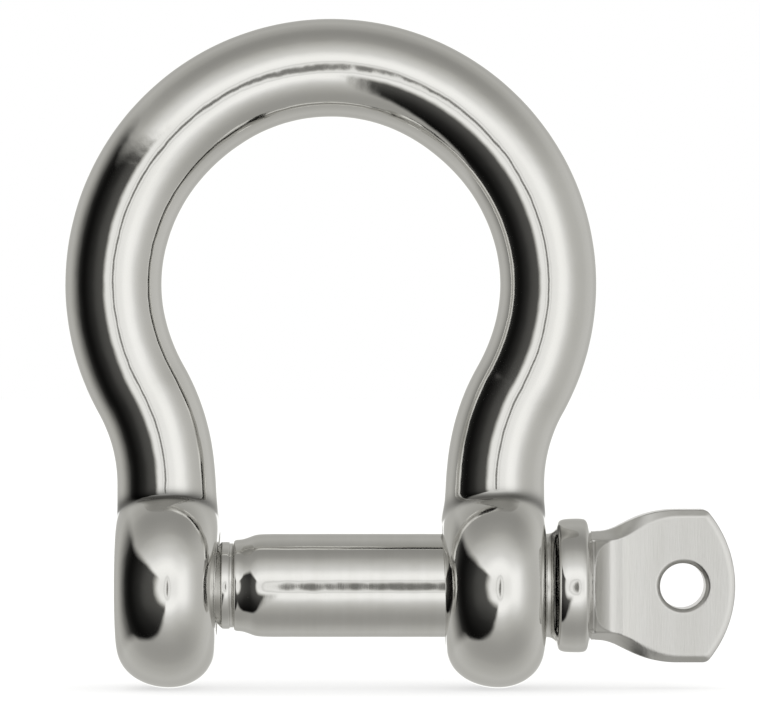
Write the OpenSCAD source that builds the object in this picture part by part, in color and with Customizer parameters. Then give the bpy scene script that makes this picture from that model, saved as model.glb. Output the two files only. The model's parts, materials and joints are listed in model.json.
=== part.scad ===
// Bow shackle with a screw pin, in millimetres.
// The origin is on the pin's axis, midway between the two eyes. +X runs along the pin
// towards its head, +Z runs up to the crown of the bow, and the bow lies in the XZ plane.

/* [Bow] */
// Diameter of the round bar that the bow is bent from
bar_d = 7.6; // [7:0.1:8.2]
// Width inside the bow at its widest
bow_inner_w = 25.7; // [24:0.1:28]
// Distance inside, from the top of the pin to the crown
inside_length = 32; // [30:0.5:36]
// Radius of the inward bend of each leg, on the bar's centreline
leg_bend_r = 15; // [12:0.5:18]

/* [Eyes] */
// Clear gap between the two eyes
eye_gap = 17.6; // [15.5:0.1:18.5]
// Thickness of each eye along the pin
eye_t = 7.7; // [7.4:0.1:8.4]
// Diameter of each eye
eye_d = 15.8; // [14.6:0.1:17]
// Radius that rounds the rim of each eye
eye_round = 3.1; // [1.5:0.1:3.4]

/* [Screw pin] */
// Diameter of the plain shank
pin_d = 8; // [7.6:0.1:8.4]
// Outer diameter of the thread
thread_d = 7; // [6.4:0.1:7.2]
// Pitch of the thread
thread_pitch = 1; // [0.75:0.25:1.25]
// Gap between the plain eye and the collar, with the pin unscrewed a little
collar_gap = 0.85; // [0.3:0.05:2]
// Diameter of the collar
collar_d = 10.4; // [9.6:0.1:11.6]
// Thickness of the collar
collar_t = 2.6; // [2:0.1:3.4]

/* [Head] */
// Diameter of the round neck between the collar and the flat tab
neck_d = 8.3; // [7.8:0.1:8.8]
// Distance from the collar to the end of the tab
head_length = 11.05; // [10.6:0.05:13]
// Width of the tab
tab_w = 11.7; // [11.2:0.1:12.6]
// Thickness of the tab
tab_t = 4; // [3:0.1:5]
// Radius of the tab's round end
tab_end_r = 8.9; // [8:0.1:10]
// Diameter of the hole for a lanyard
lanyard_hole_d = 3.5; // [3:0.1:4.5]
// Distance from the end of the tab to the hole's centre
lanyard_hole_inset = 4; // [3.5:0.1:4.5]

/* [Hidden] */
$fn = 96;

steel = "silver";
brushed_steel = "gainsboro";

// Clearances and edge breaks
plain_eye_clearance = 0.3;   // radial, between the shank and the plain eye
thread_clearance = 0.05;     // radial, between the thread's crest and the tapped eye
edge_break = 0.4;            // chamfer at the mouths of both eyes
hole_break = 0.25;           // chamfer at the mouths of the lanyard hole
thread_end_break = 0.613 * thread_pitch; // chamfer at the tip, down to the thread's root
collar_round = 0.8;          // radius on the rim of the collar
through = 1;                 // how far a cutter runs past the face it cuts
lap = 0.25;                  // how far each length of bar runs on inside the next one down
bar_step = 0.02;             // how much thicker that next length is, so that it holds the lap

// The bow's centreline: one arc over the crown, then a reverse bend into each leg
bow_r = bow_inner_w / 2 + bar_d / 2;
leg_x = eye_gap / 2 + eye_t / 2;
bow_z = pin_d / 2 + inside_length + bar_d / 2 - bow_r;
waist_angle = acos((leg_x + leg_bend_r) / (bow_r + leg_bend_r));
leg_top_z = bow_z - (bow_r + leg_bend_r) * sin(waist_angle);

// Stations along the pin, from the head back to the threaded tip
eye_outer_x = eye_gap / 2 + eye_t;
collar_x = eye_outer_x + collar_gap;
neck_x = collar_x + collar_t;
head_end_x = neck_x + head_length;
tip_x = -eye_outer_x + collar_gap;
shank_x = -eye_gap / 2 + 1.2;        // where the shank meets the thread
taper_x = -eye_gap / 2 + 1.95;       // where the shank starts to widen
taper_length = 1.8;

// The tab's outline: it flares from the neck, bends over at the shoulder, and ends in an arc
flare_angle = 26;
flare_r = 4;
shoulder_r = 8.5;
neck_length = 0.25;
flare_rise = tab_w / 2 - neck_d / 2 - (flare_r + shoulder_r) * (1 - cos(flare_angle));
shoulder_x = neck_x + neck_length + (flare_r + shoulder_r) * sin(flare_angle)
    + flare_rise / tan(flare_angle);
tab_end_x = head_end_x - tab_end_r;  // centre of the end arc
end_angle = asin(tab_w / 2 / tab_end_r);
ramp_r = neck_d / 2 - tab_t / 2;     // quarter round from the neck down to the tab's flats

// Points on an arc about centre c, from angle a0 to a1 in n steps
function arc(c, r, a0, a1, n) =
    [for (i = [0:n]) c + r * [cos(a0 + (a1 - a0) * i / n), sin(a0 + (a1 - a0) * i / n)]];

// The upper half of the tab's outline, from the neck to the end
tab_half = concat(
    [[neck_x, 0], [neck_x, neck_d / 2]],
    arc([neck_x + neck_length, neck_d / 2 + flare_r], flare_r, -90, -90 + flare_angle, 6),
    arc([shoulder_x, tab_w / 2 - shoulder_r], shoulder_r, 90 + flare_angle, 90, 8),
    arc([tab_end_x, 0], tab_end_r, end_angle, 0, 16)
);

// A solid of revolution about the pin's axis; the profile is drawn as [distance along X, radius]
module turned() {
    rotate([0, 90, 0]) rotate_extrude() rotate([0, 0, 90]) mirror([0, 1]) children();
}

// A cylinder along the pin's axis, from x0 to x1
module along_pin(x0, x1, d) {
    translate([x0, 0, 0]) rotate([0, 90, 0]) cylinder(d = d, h = x1 - x0);
}

// A length of round bar, bent about Y in the XZ plane from angle a0 to a1
module bent_bar(centre_x, centre_z, r, a0, a1, d) {
    translate([centre_x, 0, centre_z]) rotate([90, 0, 0]) rotate([0, 0, a0])
        rotate_extrude(angle = a1 - a0) translate([r, 0]) circle(d = d);
}

// The angle that the lap takes up on a bend of radius r
function lap_angle(r) = lap / r * 180 / PI;

// The round part of the bow, from one waist over the crown to the other
module crown() {
    below = waist_angle + lap_angle(bow_r);
    bent_bar(0, bow_z, bow_r, -below, 180 + below, bar_d);
}

// One leg below the waist, on the +X side: the reverse bend, then the straight end in the eye
module leg() {
    bent_bar(leg_x + leg_bend_r, leg_top_z, leg_bend_r, 180 - waist_angle,
        180 + lap_angle(leg_bend_r), bar_d + bar_step);
    translate([leg_x, 0, 0]) cylinder(d = bar_d + 2 * bar_step, h = leg_top_z);
}

// One eye with its rim rounded, on the +X side
module eye() {
    flat_t = eye_t - 2 * eye_round;
    turned() {
        translate([leg_x - eye_t / 2, 0]) square([eye_t, eye_d / 2 - eye_round]);
        translate([leg_x - flat_t / 2, 0]) square([flat_t, eye_d / 2]);
        for (side = [-1, 1])
            translate([leg_x + side * flat_t / 2, eye_d / 2 - eye_round]) circle(r = eye_round);
    }
}

// A hole through one eye with a chamfer at each mouth; side is +1 or -1 along X
module eye_hole(side, d) {
    translate([side * leg_x, 0, 0]) rotate([0, 90, 0]) {
        cylinder(d = d, h = eye_t + 2 * through, center = true);
        for (end = [0, 1]) mirror([0, 0, end]) translate([0, 0, eye_t / 2 - edge_break])
            cylinder(d1 = d, d2 = d + 2 * (edge_break + through), h = edge_break + through);
    }
}

module bow() {
    color(steel) difference() {
        union() {
            crown();
            for (side = [0, 1]) mirror([side, 0, 0]) {
                leg();
                eye();
            }
        }
        eye_hole(-1, thread_d + 2 * thread_clearance);
        eye_hole(1, pin_d + 2 * plain_eye_clearance);
    }
}

module pin_shank() {
    color(steel) {
        along_pin(taper_x + taper_length, collar_x, pin_d);
        along_pin(shank_x, taper_x, thread_d);
        turned() polygon([
            [taper_x, 0],
            [taper_x, thread_d / 2],
            [taper_x + taper_length, pin_d / 2],
            [taper_x + taper_length, 0]
        ]);
    }
}

module pin_thread() {
    color(steel) turned() polygon([
        [tip_x, 0],
        [tip_x, thread_d / 2 - thread_end_break],
        [tip_x + thread_end_break, thread_d / 2],
        [shank_x, thread_d / 2],
        [shank_x, 0]
    ]);
}

module pin_collar() {
    color(steel) turned() {
        translate([collar_x, 0]) square([collar_t, collar_d / 2 - collar_round]);
        translate([collar_x + collar_round, 0]) square([collar_t - 2 * collar_round, collar_d / 2]);
        for (x = [collar_x + collar_round, neck_x - collar_round])
            translate([x, collar_d / 2 - collar_round]) circle(r = collar_round);
    }
}

// The neck, hollowed on both sides by the quarter-round ramps that run down to the tab's flats
module neck() {
    ramp_x = neck_x + neck_length + ramp_r;
    difference() {
        along_pin(neck_x, ramp_x, neck_d);
        for (side = [-1, 1]) translate([ramp_x, side * neck_d / 2, 0])
            cylinder(r = ramp_r, h = neck_d + 2 * through, center = true);
    }
}

// The flat tab, standing in the bow's own plane
module tab() {
    rotate([90, 0, 0]) linear_extrude(tab_t, center = true) {
        polygon(tab_half);
        mirror([0, 1]) polygon(tab_half);
    }
}

// The lanyard hole, with a chamfer at each mouth
module lanyard_hole() {
    translate([head_end_x - lanyard_hole_inset, 0, 0]) rotate([90, 0, 0]) {
        cylinder(d = lanyard_hole_d, h = tab_t + 2 * through, center = true);
        for (end = [0, 1]) mirror([0, 0, end]) translate([0, 0, tab_t / 2 - hole_break])
            cylinder(
                d1 = lanyard_hole_d,
                d2 = lanyard_hole_d + 2 * (hole_break + through),
                h = hole_break + through
            );
    }
}

module pin_head() {
    color(brushed_steel) difference() {
        union() {
            neck();
            tab();
        }
        lanyard_hole();
    }
}

bow();
pin_shank();
pin_thread();
pin_collar();
pin_head();
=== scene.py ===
"""Looks for the bow shackle: a forged bow, its screw pin, a pale studio and a camera square to the bow.

Shapes are worked out in millimetres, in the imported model's own frame, and turned into metres as they are
meshed. The forged shapes are distance functions: negative inside the steel, and zero on its surface.
"""

import json
import math

import bmesh
import bpy
import numpy as np
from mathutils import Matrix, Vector


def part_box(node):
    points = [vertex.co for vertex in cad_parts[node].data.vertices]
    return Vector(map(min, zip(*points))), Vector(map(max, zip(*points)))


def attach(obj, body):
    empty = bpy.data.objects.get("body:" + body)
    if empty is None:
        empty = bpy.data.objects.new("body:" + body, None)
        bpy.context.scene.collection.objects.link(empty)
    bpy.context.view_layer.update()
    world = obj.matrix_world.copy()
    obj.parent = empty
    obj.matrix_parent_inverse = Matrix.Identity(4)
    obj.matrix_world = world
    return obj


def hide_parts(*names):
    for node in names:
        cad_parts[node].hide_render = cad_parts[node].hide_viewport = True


MM = 0.001
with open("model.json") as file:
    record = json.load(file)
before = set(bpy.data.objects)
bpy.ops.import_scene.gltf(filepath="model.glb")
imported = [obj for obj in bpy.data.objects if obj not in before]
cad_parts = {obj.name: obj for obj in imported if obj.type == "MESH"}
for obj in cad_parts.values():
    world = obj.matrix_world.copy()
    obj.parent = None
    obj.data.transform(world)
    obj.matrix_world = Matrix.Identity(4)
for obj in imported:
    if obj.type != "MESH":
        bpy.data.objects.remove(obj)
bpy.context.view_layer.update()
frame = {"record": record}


def cad(node):
    """Lowest and highest corner of a CAD node, in millimetres."""
    low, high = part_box(node)
    return np.array(low) / MM, np.array(high) / MM


def mount(name):
    """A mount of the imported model, by its name."""
    return next(m for m in frame["record"]["mounts"] if m["name"] == name)


# ---------------------------------------------------------------- sizes from the frame
bow_low, bow_high = cad("bow")
thread_low, thread_high = cad("pin_thread")
collar_low, collar_high = cad("pin_collar")
head_low, head_high = cad("pin_head")

OUTER_R = bow_high[0]  # outside of the bow
CROWN_INSIDE = mount("bow_crown")["pos_m"][2] / MM
BAR_R = (bow_high[2] - CROWN_INSIDE) / 2
BOW_R = OUTER_R - BAR_R
BOW_Z = bow_high[2] - OUTER_R
EYE_R = bow_high[1]
EYE_GAP = mount("pin_span")["dims"]["length_mm"]
PIN_R = mount("pin_span")["dims"]["r_mm"]
THREAD_R = thread_high[2]
TIP_X, SHANK_X = thread_low[0], thread_high[0]
COLLAR_X, NECK_X = collar_low[0], collar_high[0]
COLLAR_R = collar_high[2]
HEAD_END_X = head_high[0]
NECK_R = head_high[1]
TAB_HALF_W = head_high[2]
HOLE_X = mount("lanyard_hole")["pos_m"][0] / MM
HOLE_R = mount("lanyard_hole")["dims"]["r_mm"]

# ---------------------------------------------------------------- sizes that only the design knows
EYE_T = 7.7
EYE_ROUND = 3.1
EYE_CREST = 0.25  # the crown of each rim lies this far towards +X
BEND_R = 15.0
PITCH = 1.0
THREAD_DEPTH = 0.613 * PITCH
THREAD_SLACK = 0.05  # added to the radius of the tapped eye's thread
PLAIN_BORE_R = PIN_R + 0.3
MOUTH_BREAK = 0.4  # added to the radius of each bore at its mouths
TAB_HALF_T = 2.0
TAB_END_R = 8.9
LEG_X = EYE_GAP / 2 + EYE_T / 2
WAIST = math.acos((LEG_X + BEND_R) / (BOW_R + BEND_R))
LEG_TOP_Z = BOW_Z - (BOW_R + BEND_R) * math.sin(WAIST)

# ---------------------------------------------------------------- how finely the shapes are meshed
BOW_CELL, HEAD_CELL = ((0.22, 0.1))
AROUND = 128  # points in each row round the pin


# ---------------------------------------------------------------- distance functions and their meshes
def smooth_min(a, b, k):
    """The smaller of a and b, with the corner between them eased over a width of about k."""
    h = np.clip(0.5 + 0.5 * (b - a) / k, 0, 1)
    return b + (a - b) * h - k * h * (1 - h)


def smooth_max(a, b, k):
    return -smooth_min(-a, -b, k)


def smoothstep(a, b, x):
    """0 at a, 1 at b, eased."""
    t = np.clip((x - a) / (b - a), 0, 1)
    return t * t * (3 - 2 * t)


def bump(x, centre, width):
    """1 at the centre, falling to 0 on both sides."""
    return np.exp(-(((x - centre) / width) ** 2))


def gradient(distance, p, step=1e-3):
    """Unit normals of a distance function at points p, one row each, and how steeply it rises there."""
    g = np.empty_like(p)
    for axis in range(3):
        d = np.zeros(3)
        d[axis] = step
        g[:, axis] = distance(*(p + d).T) - distance(*(p - d).T)
    length = np.linalg.norm(g, axis=1)
    return g / np.maximum(length, 1e-12)[:, None], length / (2 * step)


def onto_surface(distance, p, rounds=3):
    """Points p moved along their normals until the distance function is zero there."""
    for _ in range(rounds):
        normal, slope = gradient(distance, p)
        p = p - normal * (distance(*p.T) / np.maximum(slope, 0.3))[:, None]
    return p


def surface_net(distance, low, high, cell):
    """Quads over the zero surface of a distance function: (points, quads), with the points on the surface."""
    grid = [np.arange(a, b + cell, cell) for a, b in zip(low, high)]
    f = distance(*np.meshgrid(*grid, indexing="ij", sparse=True))
    inside = f < 0
    corners = [(i, j, k) for i in (0, 1) for j in (0, 1) for k in (0, 1)]
    shape = np.array(f.shape) - 1

    def corner(a, c):
        return a[tuple(slice(o, o + n) for o, n in zip(c, shape))]

    count = sum(corner(inside, c).astype(np.int8) for c in corners)
    cells = np.argwhere((count > 0) & (count < 8))
    values = {c: f[tuple((cells + c).T)] for c in corners}
    total, hits = np.zeros((len(cells), 3)), np.zeros(len(cells))
    for a in corners:
        for axis in range(3):
            if a[axis]:
                continue
            b = tuple(v + (n == axis) for n, v in enumerate(a))
            fa, fb = values[a], values[b]
            crossed = (fa < 0) != (fb < 0)
            t = np.where(crossed, fa / np.where(crossed, fa - fb, 1), 0)
            point = np.array(a, float) + t[:, None] * (np.arange(3) == axis)
            total += np.where(crossed[:, None], point, 0)
            hits += crossed
    points = np.array(low) + cell * (cells + total / hits[:, None])
    index = np.full(shape, -1)
    index[tuple(cells.T)] = np.arange(len(cells))
    quads = []
    for axis in range(3):
        near, far = [slice(None)] * 3, [slice(None)] * 3
        near[axis], far[axis] = slice(0, -1), slice(1, None)
        change = inside[tuple(near)].astype(np.int8) - inside[tuple(far)].astype(np.int8)
        at = np.argwhere(change)
        sign = change[tuple(at.T)]
        u, v = (axis + 1) % 3, (axis + 2) % 3
        ring = []
        for du, dv in ((-1, -1), (0, -1), (0, 0), (-1, 0)):
            c = at.copy()
            c[:, u] += du
            c[:, v] += dv
            ring.append(index[tuple(c.T)])
        ring = np.stack(ring, 1)
        ring[sign < 0] = ring[sign < 0][:, ::-1]
        quads.append(ring)
    quads = np.concatenate(quads)
    points = onto_surface(distance, points)
    sides = np.concatenate([quads[:, [n, (n + 1) % 4]] for n in range(4)])
    degree = np.bincount(sides.ravel(), minlength=len(points))
    for _ in range(4):  # even the quads out along the surface
        mean = np.zeros_like(points)
        for axis in range(3):
            mean[:, axis] = np.bincount(
                sides.ravel(), weights=points[sides[:, ::-1].ravel(), axis], minlength=len(points)
            )
        points = points + 0.5 * (mean / degree[:, None] - points)
        points = onto_surface(distance, points, 1)
    return onto_surface(distance, points, 2), quads


def new_piece(name, points, faces):
    """A mesh object from points in millimetres."""
    mesh = bpy.data.meshes.new(name)
    mesh.from_pydata((np.asarray(points) * MM).tolist(), [], [list(map(int, q)) for q in faces])
    mesh.shade_smooth()
    piece = bpy.data.objects.new(name, mesh)
    bpy.context.scene.collection.objects.link(piece)
    return piece


def set_normals(piece, distance, forged=0, crease=35):
    """Normals: exact on faces whose material index is forged, and each face's own on the machined faces."""
    mesh = piece.data
    mesh.update()
    count = len(mesh.loops)
    vertex = np.empty(count, np.int32)
    mesh.loops.foreach_get("vertex_index", vertex)
    co = np.empty(len(mesh.vertices) * 3)
    mesh.vertices.foreach_get("co", co)
    exact, _ = gradient(distance, co.reshape(-1, 3) / MM)
    totals = np.empty(len(mesh.polygons), np.int32)
    mesh.polygons.foreach_get("loop_total", totals)
    material = np.empty(len(mesh.polygons), np.int32)
    mesh.polygons.foreach_get("material_index", material)
    face_normal = np.empty(len(mesh.polygons) * 3)
    mesh.polygons.foreach_get("normal", face_normal)
    face_normal = face_normal.reshape(-1, 3)
    of_loop = np.repeat(np.arange(len(totals)), totals)
    is_forged = (material == forged)[of_loop]
    face_normal = face_normal[of_loop]
    normals = np.where(is_forged[:, None], exact[vertex], face_normal)
    # past an edge the exact normal is no use, and the face's own is kept
    against = (normals * face_normal).sum(1) < math.cos(math.radians(90 - crease))
    normals[against] = face_normal[against]
    mesh.normals_split_custom_set(normals.tolist())


# ---------------------------------------------------------------- the bow
def bar_radius(angle):
    """The bar's radius round the bow, with its angle above the bow's widest line, in degrees."""
    return BAR_R + 0.05 * bump(angle, 50, 18) - 0.06 * bump(angle, 0, 20)


def bar(x, y, z):
    """The bent bar: a ring, a reverse bend into each leg, and a straight end down to the pin."""
    x = np.abs(x)
    dz = z - BOW_Z
    ring = np.hypot(x, dz) - BOW_R
    bend = BEND_R - np.hypot(x - LEG_X - BEND_R, z - LEG_TOP_Z)
    below_waist = x * math.sin(WAIST) + dz * math.cos(WAIST) < 0
    out = np.where(below_waist, np.where(z > LEG_TOP_Z, bend, x - LEG_X), ring)
    radius = bar_radius(np.degrees(np.arctan2(dz, x)))
    side = np.hypot(out - (BAR_R - radius), y) - radius
    return np.maximum(side, -z)


def eye(x, y, z):
    """Both eyes: round discs whose rims are crowned, nearly a half circle from face to face."""
    off = x - np.sign(x) * LEG_X - EYE_CREST
    across = np.abs(off) * EYE_ROUND / (EYE_T / 2 - EYE_CREST * np.sign(off))
    up = np.hypot(y, z) - EYE_R + EYE_ROUND
    return np.hypot(across, np.maximum(up, 0)) - EYE_ROUND


def bow_distance(x, y, z):
    """The whole bow, before its holes are cut."""
    inner_swell = 0.28 * bump(z, 3.8, 3.2) * bump(y, 0, 5)  # the upset metal stands proud on the inner side
    inward = np.clip((LEG_X - np.abs(x)) / BAR_R, 0, 1)
    wide = np.sign(x) * (np.abs(x) + inner_swell * inward)
    blend = 0.2 + 0.3 * smoothstep(-1, 1, x)  # the plain eye's blend is the softer one
    outside = np.abs(x) - LEG_X - EYE_T / 2 - 10 * np.maximum(z - LEG_TOP_Z, 0)
    return smooth_max(smooth_min(bar(wide, y, z), eye(wide, y, z), blend), outside, 0.05)


def thread_radius(h, growth=0.0):
    """Radius of the thread at helical station h, with growth added all over."""
    phase = np.abs((h / PITCH) % 1 - 0.5)  # 0.5 on the crest and 0 in the root
    ramp = np.clip((phase - 1 / 8) / (7 / 16 - 1 / 8), 0, 1)
    return THREAD_R - THREAD_DEPTH * (1 - ramp) + growth


THREAD_ROWS = [0.0, 0.0625, 0.2, 0.375, 0.5, 0.625, 0.8, 0.9375]  # rows in each pitch, as parts of a pitch


def helical_rows(x0, x1, radius):
    """Rows of points on the thread's helix between x0 and x1; radius(h, x) gives each point's radius."""
    turn = np.arange(AROUND) / AROUND
    start, stop = math.floor(x0 / PITCH) - 2, math.ceil(x1 / PITCH) + 1
    stations = [PITCH * (n + s) for n in range(start, stop) for s in THREAD_ROWS]
    rows = []
    for h in stations:
        x = np.clip(h + PITCH * turn, x0, x1)
        r = radius(h, x) * np.ones(AROUND)
        rows.append(np.stack([x, r * np.cos(2 * np.pi * turn), r * np.sin(2 * np.pi * turn)], 1))
    return rows


def ring_row(x, r):
    """A row of points round the X axis at x."""
    angle = 2 * np.pi * np.arange(AROUND) / AROUND
    return np.stack([np.full(AROUND, x), r * np.cos(angle), r * np.sin(angle)], 1)


def close_rows(name, rows, helical=0):
    """A closed solid from rows of points round the X axis; the first helical rows gain a pitch each turn."""
    points = np.concatenate(rows)
    shift = len(THREAD_ROWS)
    faces = []
    for i in range(len(rows) - 1):
        for j in range(AROUND):
            k = j + 1
            up = 0
            if k == AROUND:
                k, up = 0, (shift if i < helical else 0)
            a, b = i * AROUND + j, (i + 1) * AROUND + j
            c = min(i + 1 + up, len(rows) - 1)
            d = min(i + up, len(rows) - 1)
            if i < helical:
                c, d = min(c, helical), min(d, helical)
            faces.append([a, d * AROUND + k, c * AROUND + k, b])
    faces.append(list(range(AROUND)))
    faces.append([(len(rows) - 1) * AROUND + j for j in reversed(range(AROUND))])
    piece = new_piece(name, points, [])
    mesh = piece.data
    # where rows are held back at an end they lie on each other, and what has shrunk to nothing is dropped
    bm = bmesh.new()
    made = [bm.verts.new(p * MM) for p in points]
    for f in faces:
        around = [made[n] for n in dict.fromkeys(f)]
        if len(around) > 2:
            try:
                bm.faces.new(around)
            except ValueError:
                pass
    bmesh.ops.remove_doubles(bm, verts=bm.verts, dist=1e-7)
    bmesh.ops.dissolve_degenerate(bm, edges=bm.edges, dist=1e-7)
    loose = [v for v in bm.verts if not v.link_faces]
    bmesh.ops.delete(bm, geom=loose, context="VERTS")
    bmesh.ops.recalc_face_normals(bm, faces=bm.faces)
    mesh.clear_geometry()
    bm.to_mesh(mesh)
    bm.free()
    return piece


def cut(piece, cutter):
    """Takes cutter out of piece; the faces that it leaves keep the cutter's own material."""
    modifier = piece.modifiers.new("cut", "BOOLEAN")
    modifier.operation, modifier.solver, modifier.object = "DIFFERENCE", "EXACT", cutter
    graph = bpy.context.evaluated_depsgraph_get()
    mesh = bpy.data.meshes.new_from_object(piece.evaluated_get(graph), depsgraph=graph)
    piece.modifiers.clear()
    piece.data = mesh
    bpy.data.objects.remove(cutter)


def material_slots(piece, *materials):
    """Gives a piece its materials; faces with index 0 take the first."""
    for m in materials:
        piece.data.materials.append(m)


def bore_tool(name, side, x0, x1, radius, mouth_r, material):
    """A cutter for one eye's hole from x0 to x1, with radius(h) for its wall and mouth_r at its mouths."""
    faces = (side * EYE_GAP / 2, side * (EYE_GAP / 2 + EYE_T))
    inner, outer = min(faces), max(faces)

    def wall(h, x):
        depth = np.minimum(x - inner, outer - x)  # inside the eye from its nearer face
        return np.maximum(radius(h), mouth_r - depth)

    rows = helical_rows(x0, x1, wall)
    piece = close_rows(name, rows, helical=len(rows) - 1)
    material_slots(piece, material, material)
    for polygon in piece.data.polygons:
        polygon.material_index = 1
    return piece


def mark_creases(piece):
    """Marks how near each point lies to a crease between the bar and an eye, where painted shade darkens the
    steel's colour.
    """
    mesh = piece.data
    co = np.empty(len(mesh.vertices) * 3)
    mesh.vertices.foreach_get("co", co)
    x, y, z = co.reshape(-1, 3).T / MM
    width = 0.4
    apart = np.hypot(bar(x, y, z), eye(x, y, z))
    mark = mesh.attributes.new("crease", "FLOAT", "POINT")
    mark.data.foreach_set("value", bump(apart, 0, width) * (z > 0))


def make_bow(polished, machined):
    """The forged bow, with a tapped eye on the left and a plain one on the right."""
    reach = np.array([OUTER_R + 0.5, EYE_R + 0.5, 0])
    low, high = -reach + [0, 0, bow_low[2] - 0.5], reach + [0, 0, bow_high[2] + 0.5]
    points, quads = surface_net(bow_distance, low, high, BOW_CELL)
    piece = new_piece("forged_bow", points, quads)
    material_slots(piece, polished, machined)
    past = 1.2  # how far each cutter runs on outside its eye
    left = (-EYE_GAP / 2 - EYE_T - past, -EYE_GAP / 2 + past)
    right = (EYE_GAP / 2 - past, EYE_GAP / 2 + EYE_T + past)
    tapped = bore_tool(
        "tap", -1, *left, lambda h: thread_radius(h, THREAD_SLACK), THREAD_R + MOUTH_BREAK, machined
    )
    plain = bore_tool("drill", 1, *right, lambda h: PLAIN_BORE_R, PLAIN_BORE_R + MOUTH_BREAK, machined)
    for cutter in (tapped, plain):
        cut(piece, cutter)
    set_normals(piece, bow_distance)
    mark_creases(piece)
    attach(piece, "bow")
    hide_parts("bow")
    return piece


# ---------------------------------------------------------------- the screw pin
def rounded(outline, rounds=3):
    """Cuts the corners of an open outline, keeping its two ends."""
    p = np.array(outline, float)
    for _ in range(rounds):
        a, b = p[:-1], p[1:]
        inner = np.stack([0.75 * a + 0.25 * b, 0.25 * a + 0.75 * b], 1).reshape(-1, 2)
        p = np.concatenate([p[:1], inner[1:-1], p[-1:]])
    return p


def make_pin(turned, machined):
    """Thread, run-out, shank and collar as one turned piece, drawn from the tip towards the head."""
    thread_end = -EYE_GAP / 2 - 0.1
    relief_r = THREAD_R - THREAD_DEPTH - 0.05  # the relief behind the thread, just under its root
    ring_r = THREAD_R - 0.12  # the plain ring between the relief and the shank

    def threaded(h, x):
        tip = relief_r + (x - TIP_X)  # the chamfer at the tip
        fade = smoothstep(thread_end - 0.4, thread_end - 0.05, x)
        r = thread_radius(h, -0.03) * (1 - fade) + relief_r * fade
        return np.minimum(r, tip)

    rows = helical_rows(TIP_X, thread_end, threaded)
    helical = len(rows) - 1
    neck_end = rounded([
        (thread_end, relief_r),
        (thread_end + 0.08, relief_r),
        (thread_end + 0.5, ring_r - 0.04),
        (thread_end + 0.6, ring_r),
        (SHANK_X - 0.18, ring_r),
        (SHANK_X - 0.12, ring_r - 0.12),
        (SHANK_X + 0.1, ring_r - 0.1),
        (SHANK_X + 0.2, THREAD_R + 0.04),
        (SHANK_X + 0.75, THREAD_R + 0.07),
        (SHANK_X + 1.2, THREAD_R + 0.21),
        (SHANK_X + 1.75, PIN_R - 0.08),
        (SHANK_X + 2.3, PIN_R - 0.015),
        (SHANK_X + 3.2, PIN_R),
    ])
    shank = [(x, PIN_R) for x in np.arange(SHANK_X + 4, COLLAR_X - 1.2, 1.0)]
    fillet = rounded([
        (COLLAR_X - 1.0, PIN_R),
        (COLLAR_X - 0.5, PIN_R + 0.03),
        (COLLAR_X - 0.25, PIN_R + 0.2),
        (COLLAR_X - 0.08, PIN_R + 0.46),
        (COLLAR_X + 0.01, PIN_R + 0.75),
    ])
    rim = rounded([
        (COLLAR_X + 0.01, PIN_R + 0.75),
        (COLLAR_X + 0.02, COLLAR_R - 0.42),
        (COLLAR_X + 0.14, COLLAR_R - 0.2),
        (COLLAR_X + 0.45, COLLAR_R - 0.06),
        (COLLAR_X + 1.0, COLLAR_R - 0.01),
        (COLLAR_X + 1.9, COLLAR_R),
        (COLLAR_X + 2.3, COLLAR_R - 0.12),
        (NECK_X - 0.12, NECK_R + 0.45),
        (NECK_X + 0.05, NECK_R + 0.02),
        (NECK_X + 0.15, NECK_R - 0.15),
    ])
    outline = [*neck_end[1:], *shank, *fillet, *rim[1:], (NECK_X + 0.15, NECK_R - 1.2)]
    rows += [ring_row(x, r) for x, r in outline]
    piece = close_rows("screw_pin", rows, helical)
    material_slots(piece, turned, machined)
    for polygon in piece.data.polygons:
        polygon.material_index = int(polygon.center.x / MM < thread_end - 0.3)
    piece.data.set_sharp_from_angle(angle=math.radians(32))
    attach(piece, "pin")
    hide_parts("pin_shank", "pin_thread", "pin_collar")
    return piece


# ---------------------------------------------------------------- the head
FLARE = math.radians(26)
FLARE_R, SHOULDER_R, NECK_LENGTH = 4.0, 8.5, 0.25
FLARE_RISE = TAB_HALF_W - NECK_R - (FLARE_R + SHOULDER_R) * (1 - math.cos(FLARE))
SHOULDER_X = (
    NECK_X + NECK_LENGTH + (FLARE_R + SHOULDER_R) * math.sin(FLARE) + FLARE_RISE / math.tan(FLARE)
)
TAB_END_X = HEAD_END_X - TAB_END_R
RAMP_R = NECK_R - TAB_HALF_T
RAMP_X = NECK_X + NECK_LENGTH + RAMP_R


def half_width(x):
    """Half the tab's width at x: out of the neck, up the flare, and over the shoulder."""
    flare_top = FLARE_R * math.sin(FLARE)
    start = NECK_X + NECK_LENGTH
    bend_out = NECK_R + FLARE_R - np.sqrt(np.maximum(FLARE_R**2 - np.clip(x - start, 0, flare_top) ** 2, 0))
    slope_end = SHOULDER_X - SHOULDER_R * math.sin(FLARE)
    along = np.clip(x - start - flare_top, 0, slope_end - start - flare_top)
    from_top = np.clip(SHOULDER_X - x, 0, SHOULDER_R * math.sin(FLARE))
    over = np.sqrt(SHOULDER_R**2 - from_top**2) - SHOULDER_R * math.cos(FLARE)
    return bend_out + along * math.tan(FLARE) + over


def chamfer(a, b, wide_a, wide_b):
    """The plane that cuts the corner of two faces, wide_a in from face a and wide_b in from face b."""
    return (a / wide_a + b / wide_b + 1) / np.sqrt(1 / wide_a**2 + 1 / wide_b**2)


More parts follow.
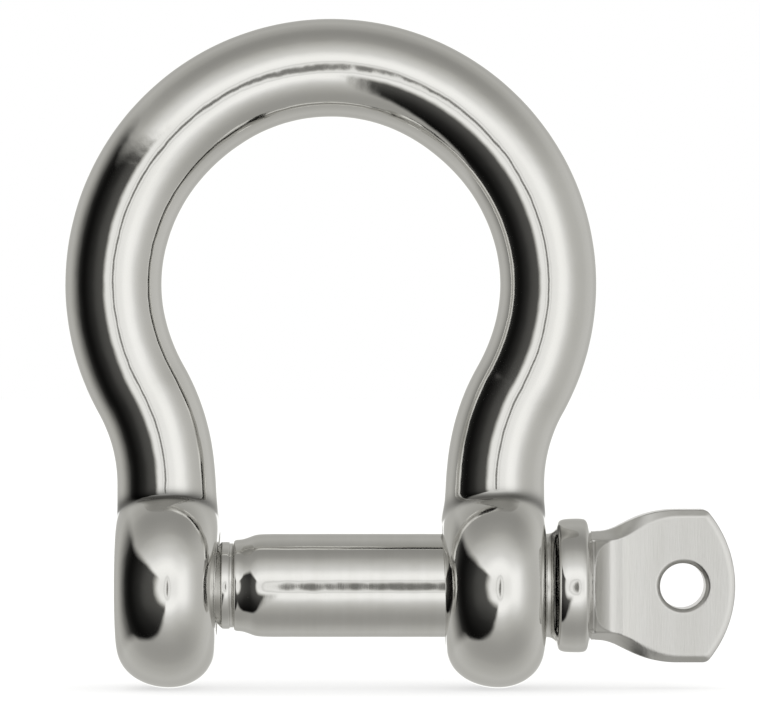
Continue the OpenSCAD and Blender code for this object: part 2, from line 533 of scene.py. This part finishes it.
def head_distance(x, y, z):
    """The neck, the tab with its bevelled edges, and the lanyard hole."""
    y, z = np.abs(y), np.abs(z)
    slope = (half_width(x + 0.01) - half_width(x - 0.01)) / 0.02
    side = (z - half_width(x)) / np.sqrt(1 + slope**2)
    end = np.hypot(x - TAB_END_X, z) - TAB_END_R
    dish = 0.24 * np.exp(-np.maximum(x - RAMP_X, 0) / 1.7)  # the flats rise a little towards the ramps
    face = y - TAB_HALF_T - dish + 0.02
    band = 0.5 + 0.45 * bump(x, 23, 2.0)  # the side bevel, seen from the front
    depth = 0.3 + 1.2 * smoothstep(24.5, 20.5, x)  # and seen from the side, deepest at the neck
    edge = 0.07  # how softly one face of the tab turns into the next
    tab = smooth_max(face, smooth_max(side, end, 0.25), edge)
    tab = smooth_max(tab, chamfer(side, face, band, depth), edge)
    tab = smooth_max(tab, chamfer(end, face, 0.35, 0.14), edge)
    tab = np.maximum(tab, NECK_X - 0.3 - x)
    groove = 0.1 * bump(x, NECK_X + 0.2, 0.12)
    neck = np.maximum(np.hypot(y, z) - NECK_R + groove, np.maximum(NECK_X - 0.3 - x, x - RAMP_X - 0.3))
    ramp = RAMP_R - np.hypot(np.minimum(x - RAMP_X, 0), y - NECK_R - 0.1)
    neck = smooth_max(neck, ramp, 0.1)
    solid = smooth_min(tab, neck, 0.15)
    hole = HOLE_R - np.hypot(x - HOLE_X, z)
    solid = smooth_max(solid, hole, 0.08)
    return smooth_max(solid, chamfer(hole, face, 0.28, 0.28), 0.08)


def make_head(satin):
    """The pin's head, whose neck starts a little way inside the collar."""
    low = np.array([NECK_X - 0.6, -NECK_R - 0.4, -TAB_HALF_W - 0.4])
    high = np.array([HEAD_END_X + 0.4, NECK_R + 0.4, TAB_HALF_W + 0.4])
    points, quads = surface_net(head_distance, low, high, HEAD_CELL)
    piece = new_piece("drilled_head", points, quads)
    material_slots(piece, satin)
    set_normals(piece, head_distance)
    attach(piece, "pin")
    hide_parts("pin_head")
    return piece


# ---------------------------------------------------------------- materials
class Nodes:
    """A short way to write a node tree."""

    def __init__(self, tree):
        self.tree = tree
        tree.nodes.clear()

    def add(self, kind, settings=None, **inputs):
        node = self.tree.nodes.new(kind)
        for key, value in (settings or {}).items():
            setattr(node, key, value)
        for key, value in inputs.items():
            socket = node.inputs[int(key[1:])] if key[0] == "i" and key[1:].isdigit() else None
            socket = socket or node.inputs[key.replace("_", " ")]
            self.put(value, socket)
        return node

    def put(self, value, socket):
        if isinstance(value, bpy.types.Node):
            value = value.outputs[0]
        if isinstance(value, bpy.types.NodeSocket):
            self.tree.links.new(value, socket)
        else:
            socket.default_value = value

    def math(self, operation, a, b=0.0, c=0.0):
        return self.add("ShaderNodeMath", {"operation": operation}, i0=a, i1=b, i2=c)

    def smooth(self, x, a, b):
        """0 at a, 1 at b, eased."""
        node = self.add("ShaderNodeMapRange", {"interpolation_type": "SMOOTHSTEP"})
        self.put(x, node.inputs["Value"])
        self.put(a, node.inputs["From Min"])
        self.put(b, node.inputs["From Max"])
        return node.outputs[0]

    def scaled(self, x, low, high):
        node = self.add("ShaderNodeMapRange")
        self.put(x, node.inputs["Value"])
        self.put(low, node.inputs["To Min"])
        self.put(high, node.inputs["To Max"])
        return node.outputs[0]

    def ramp(self, x, stops):
        """A smooth curve through (place, value) stops, both from 0 to 1."""
        node = self.add("ShaderNodeFloatCurve", Value=x)
        curve = node.mapping.curves[0]
        curve.points[0].location = stops[0]
        curve.points[1].location = stops[-1]
        for place, value in stops[1:-1]:
            curve.points.new(place, value)
        node.mapping.update()
        return node.outputs[0]

    def mixed(self, factor, a, b):
        node = self.add("ShaderNodeMix", {"data_type": "FLOAT"})
        self.put(factor, node.inputs[0])
        self.put(a, node.inputs[2])
        self.put(b, node.inputs[3])
        return node.outputs[0]

    def noise(self, where, scale, detail=3.0, roughness=0.5):
        node = self.add("ShaderNodeTexNoise", Scale=scale, Detail=detail, Roughness=roughness)
        self.put(where, node.inputs["Vector"])
        return node.outputs[0]

    def stretched(self, where, x, y, z):
        node = self.add("ShaderNodeMapping", Scale=(x, y, z))
        self.put(where, node.inputs["Vector"])
        return node.outputs[0]


STEEL = (0.75, 0.744, 0.73, 1)
# near-black colour for the painted shade in the creases between the bar and the eyes
CREASE_SHADE = (0.03, 0.029, 0.027, 1)


def steel(name, roughness, spread, grain, grain_height, streaks=(1, 1, 1), wave_height=0.0, smear=0.05):
    """Stainless steel: slow waves left by the forging, a fine grain and uneven gloss, all fixed to the piece.

    The gloss varies by spread either way from roughness, and smear is how much darker the dullest places are.
    """
    material = bpy.data.materials.new(name)
    material.use_nodes = True
    n = Nodes(material.node_tree)
    place = n.add("ShaderNodeTexCoord").outputs["Object"]
    mm = n.stretched(place, 1 / MM, 1 / MM, 1 / MM)
    drawn = n.stretched(mm, *streaks)
    waves = n.noise(mm, 0.35, 2)
    fine = n.noise(drawn, grain, 4, 0.6)
    smears = n.noise(drawn, grain * 0.12, 3)
    height = n.math("MULTIPLY_ADD", waves, wave_height, n.math("MULTIPLY", fine, grain_height))
    bumped = n.add("ShaderNodeBump", Strength=1.0, Distance=MM, Height=height)
    shader = n.add("ShaderNodeBsdfPrincipled", Metallic=1.0)
    shader.inputs["Base Color"].default_value = STEEL
    tint = n.add("ShaderNodeMix", {"data_type": "RGBA"})
    n.put(smears, tint.inputs["Factor"])
    dull = 1 - smear
    tint.inputs[6].default_value = (STEEL[0] * dull, STEEL[1] * dull, STEEL[2] * dull * 0.98, 1)
    tint.inputs[7].default_value = STEEL
    # painted shade: the base colour is darkened towards near black along the creases marked between the bar
    # and the eyes
    crease = n.add("ShaderNodeAttribute", {"attribute_name": "crease"}).outputs["Fac"]
    crease_shade = n.add("ShaderNodeMix", {"data_type": "RGBA"})
    n.put(n.math("MULTIPLY", crease, 0.85), crease_shade.inputs["Factor"])
    n.put(tint.outputs[2], crease_shade.inputs[6])
    crease_shade.inputs[7].default_value = CREASE_SHADE
    n.put(crease_shade.outputs[2], shader.inputs["Base Color"])
    n.put(n.scaled(smears, roughness - spread, roughness + spread), shader.inputs["Roughness"])
    n.put(bumped, shader.inputs["Normal"])
    n.add("ShaderNodeOutputMaterial", Surface=shader)
    return material


def make_studio():
    """Lights that the steel reflects: a soft surround with a dark flag on the left and a small dark lens.

    Everything depends on the direction alone. Angles away from the camera run from 0 to 1 over half a turn,
    and so do the places of the ramps' stops; z is the upward part of the direction.
    """
    world = bpy.data.worlds.new("studio")
    bpy.context.scene.world = world
    world.use_nodes = True
    n = Nodes(world.node_tree)
    direction = n.add("ShaderNodeTexCoord").outputs["Generated"]
    axes = n.add("ShaderNodeSeparateXYZ", Vector=direction)
    x, y, z = axes.outputs
    away = n.math("DIVIDE", n.math("ARCCOSINE", n.math("MULTIPLY", y, -0.99999)), math.pi)
    # the surround, from the camera round to the back: level with the shackle, above it and below it
    level = n.ramp(away, [(0, 0.86), (0.1, 0.9), (0.17, 1.0), (0.22, 0.96), (0.27, 0.8), (0.33, 0.62),
                          (0.4, 0.52), (0.5, 0.5), (0.6, 0.54), (0.75, 0.56), (1, 0.55)])
    above = n.ramp(away, [(0, 0.86), (0.06, 0.92), (0.12, 1.0), (0.16, 0.92), (0.21, 0.72), (0.26, 0.6),
                          (0.33, 0.44), (0.4, 0.32), (0.5, 0.29), (0.58, 0.36), (0.75, 0.48), (1, 0.55)])
    below = n.ramp(away, [(0, 0.86), (0.06, 0.92), (0.12, 1.0), (0.16, 0.88), (0.21, 0.64), (0.26, 0.5),
                          (0.33, 0.39), (0.4, 0.34), (0.5, 0.35), (0.58, 0.42), (0.75, 0.52), (1, 0.55)])
    sideways = n.math("SQRT", n.math("ADD", n.math("MULTIPLY", x, x), n.math("MULTIPLY", z, z)))
    steep = n.math("DIVIDE", n.math("ABSOLUTE", z), n.math("ADD", sideways, 1e-4))
    upright = n.mixed(n.smooth(z, -0.1, 0.1), below, above)
    both = n.mixed(n.smooth(steep, 0.3, 0.95), level, upright)
    # a soft box behind the shackle, in a dim frame
    box = n.math("MULTIPLY", n.smooth(y, 0.94, 0.97), n.smooth(z, -0.4, -0.3))
    rim = n.math("MULTIPLY", n.smooth(y, 0.55, 0.85), n.smooth(y, 0.95, 0.92))
    both = n.math("MULTIPLY_ADD", rim, -0.08, n.math("MULTIPLY_ADD", box, 0.5, both))
    # the flag: a dark panel from just left of the camera round to the back; high and low are the angles
    # above and below level that it reaches, in quarter turns, and it fades out behind the shackle
    lean = n.math("ARCTAN2", n.math("MULTIPLY", z, -1.0), n.math("MULTIPLY", x, -1.0))
    high = n.ramp(away, [(0, 0.4), (0.25, 0.4), (0.4, 0.38), (0.5, 0.42), (1, 0.45)])
    low = n.ramp(away, [(0, 0.9), (0.27, 0.86), (0.36, 0.74), (0.44, 0.56), (0.5, 0.45), (1, 0.42)])
    top = n.smooth(n.math("MULTIPLY_ADD", high, math.pi / 2, lean), -0.1, 0.1)
    bottom = n.smooth(n.math("MULTIPLY_ADD", low, -math.pi / 2, lean), 0.1, -0.1)
    near = n.smooth(away, 14 / 180, 26 / 180)
    far = n.ramp(away, [(0, 0.9), (0.2, 0.93), (0.3, 0.97), (0.46, 0.97), (0.51, 0.84), (0.56, 0.62),
                        (0.61, 0.38), (0.68, 0.18), (0.8, 0.06), (1, 0)])
    flag = n.math("MULTIPLY", n.math("MULTIPLY", top, bottom), n.math("MULTIPLY", near, far))
    # the lens: a narrow upright dark patch over the camera, inside a faint outline of whoever holds it
    across = n.math("SUBTRACT", x, math.sin(math.radians(0.5)))
    up = n.math("ADD", z, math.sin(math.radians(1)))

    def oval(half_width, half_height):
        """How far a direction is from the lens's middle: 1 on an oval with these half sizes in degrees."""
        dx = n.math("DIVIDE", across, math.sin(math.radians(half_width)))
        dz = n.math("DIVIDE", up, math.sin(math.radians(half_height)))
        return n.math("SQRT", n.math("ADD", n.math("MULTIPLY", dx, dx), n.math("MULTIPLY", dz, dz)))

    in_front = n.smooth(y, 0, -0.5)
    lens = n.math("MULTIPLY", n.smooth(oval(2.0, 9), 1.4, 0.5), in_front)
    outline = oval(6.5, 13)
    ring = n.math("MULTIPLY", n.smooth(outline, 1.18, 1.02), n.smooth(outline, 0.7, 1.0))
    ring = n.math("MULTIPLY", ring, in_front)
    dark = n.math("MAXIMUM", n.math("MULTIPLY", lens, 0.8), n.math("MULTIPLY", ring, 0.2))
    dark = n.math("MAXIMUM", flag, dark)
    light = n.math("MULTIPLY", n.math("MULTIPLY", both, 1.18), n.math("SUBTRACT", 1.0, dark))
    tint = n.add("ShaderNodeMix", {"data_type": "RGBA"})
    n.put(n.smooth(light, 0.35, 1.0), tint.inputs["Factor"])
    tint.inputs[6].default_value = (1, 0.99, 0.94, 1)
    tint.inputs[7].default_value = (1, 1, 0.985, 1)
    # the camera itself sees plain white
    reflected = n.add("ShaderNodeBackground", Strength=light)
    n.put(tint.outputs[2], reflected.inputs["Color"])
    seen = n.add("ShaderNodeBackground", Strength=1.0)
    seen.inputs["Color"].default_value = (1, 1, 1, 1)
    pick = n.add("ShaderNodeMixShader")
    n.put(n.add("ShaderNodeLightPath").outputs["Is Camera Ray"], pick.inputs[0])
    n.put(reflected, pick.inputs[1])
    n.put(seen, pick.inputs[2])
    n.add("ShaderNodeOutputWorld", Surface=pick)


def make_floor():
    """A plain pale sheet that the eyes stand on, partly lit from within, and a wide light overhead."""
    material = bpy.data.materials.new("pale_floor")
    material.use_nodes = True
    n = Nodes(material.node_tree)
    sheet = n.add("ShaderNodeBsdfDiffuse")
    sheet.inputs["Color"].default_value = (0.9, 0.9, 0.9, 1)
    glow = n.add("ShaderNodeEmission", Strength=1.0)
    shader = n.add("ShaderNodeMixShader", i0=0.65, i1=sheet, i2=glow)
    n.add("ShaderNodeOutputMaterial", Surface=shader)
    mesh = bpy.data.meshes.new("floor")
    bm = bmesh.new()
    bmesh.ops.create_circle(bm, cap_ends=True, segments=96, radius=3.0)
    just_under = bow_low[2] - 0.02
    bmesh.ops.translate(bm, verts=bm.verts, vec=(0, 0, just_under * MM))
    bm.to_mesh(mesh)
    bm.free()
    mesh.materials.append(material)
    floor = bpy.data.objects.new("floor", mesh)
    bpy.context.scene.collection.objects.link(floor)
    floor.visible_glossy = False
    light = bpy.data.lights.new("overhead", "SUN")
    light.angle, light.energy = math.radians(130), 3.0
    lamp = bpy.data.objects.new("overhead", light)
    lamp.location = (0, 0, 1)
    lamp.visible_glossy = False
    bpy.context.scene.collection.objects.link(lamp)


def make_camera():
    """A long lens square to the bow, 45 cm away."""
    data = bpy.data.cameras.new("camera")
    data.lens = 277.1
    data.clip_start, data.clip_end = 0.02, 10
    camera = bpy.data.objects.new("camera", data)
    camera.location = Vector((3.78, -450, 17.56)) * MM
    camera.rotation_euler = (math.pi / 2, 0, 0)
    bpy.context.scene.collection.objects.link(camera)
    bpy.context.scene.camera = camera


polished_steel = steel("polished_steel", 0.07, 0.03, 3.0, 0.0012, wave_height=0.03)
machined_steel = steel("machined_steel", 0.24, 0.06, 6.0, 0.004)
turned_steel = steel(
    "turned_steel", 0.06, 0.02, 2.5, 0.0007, streaks=(4, 0.5, 0.5), wave_height=0.03, smear=0.1
)
satin_steel = steel(
    "satin_steel", 0.34, 0.06, 2.5, 0.012, streaks=(3, 3, 0.25), wave_height=0.03, smear=0.16
)
make_bow(polished_steel, machined_steel)
make_pin(turned_steel, machined_steel)
make_head(satin_steel)
make_studio()
make_floor()
make_camera()
bpy.context.scene.view_settings.view_transform = "Standard"
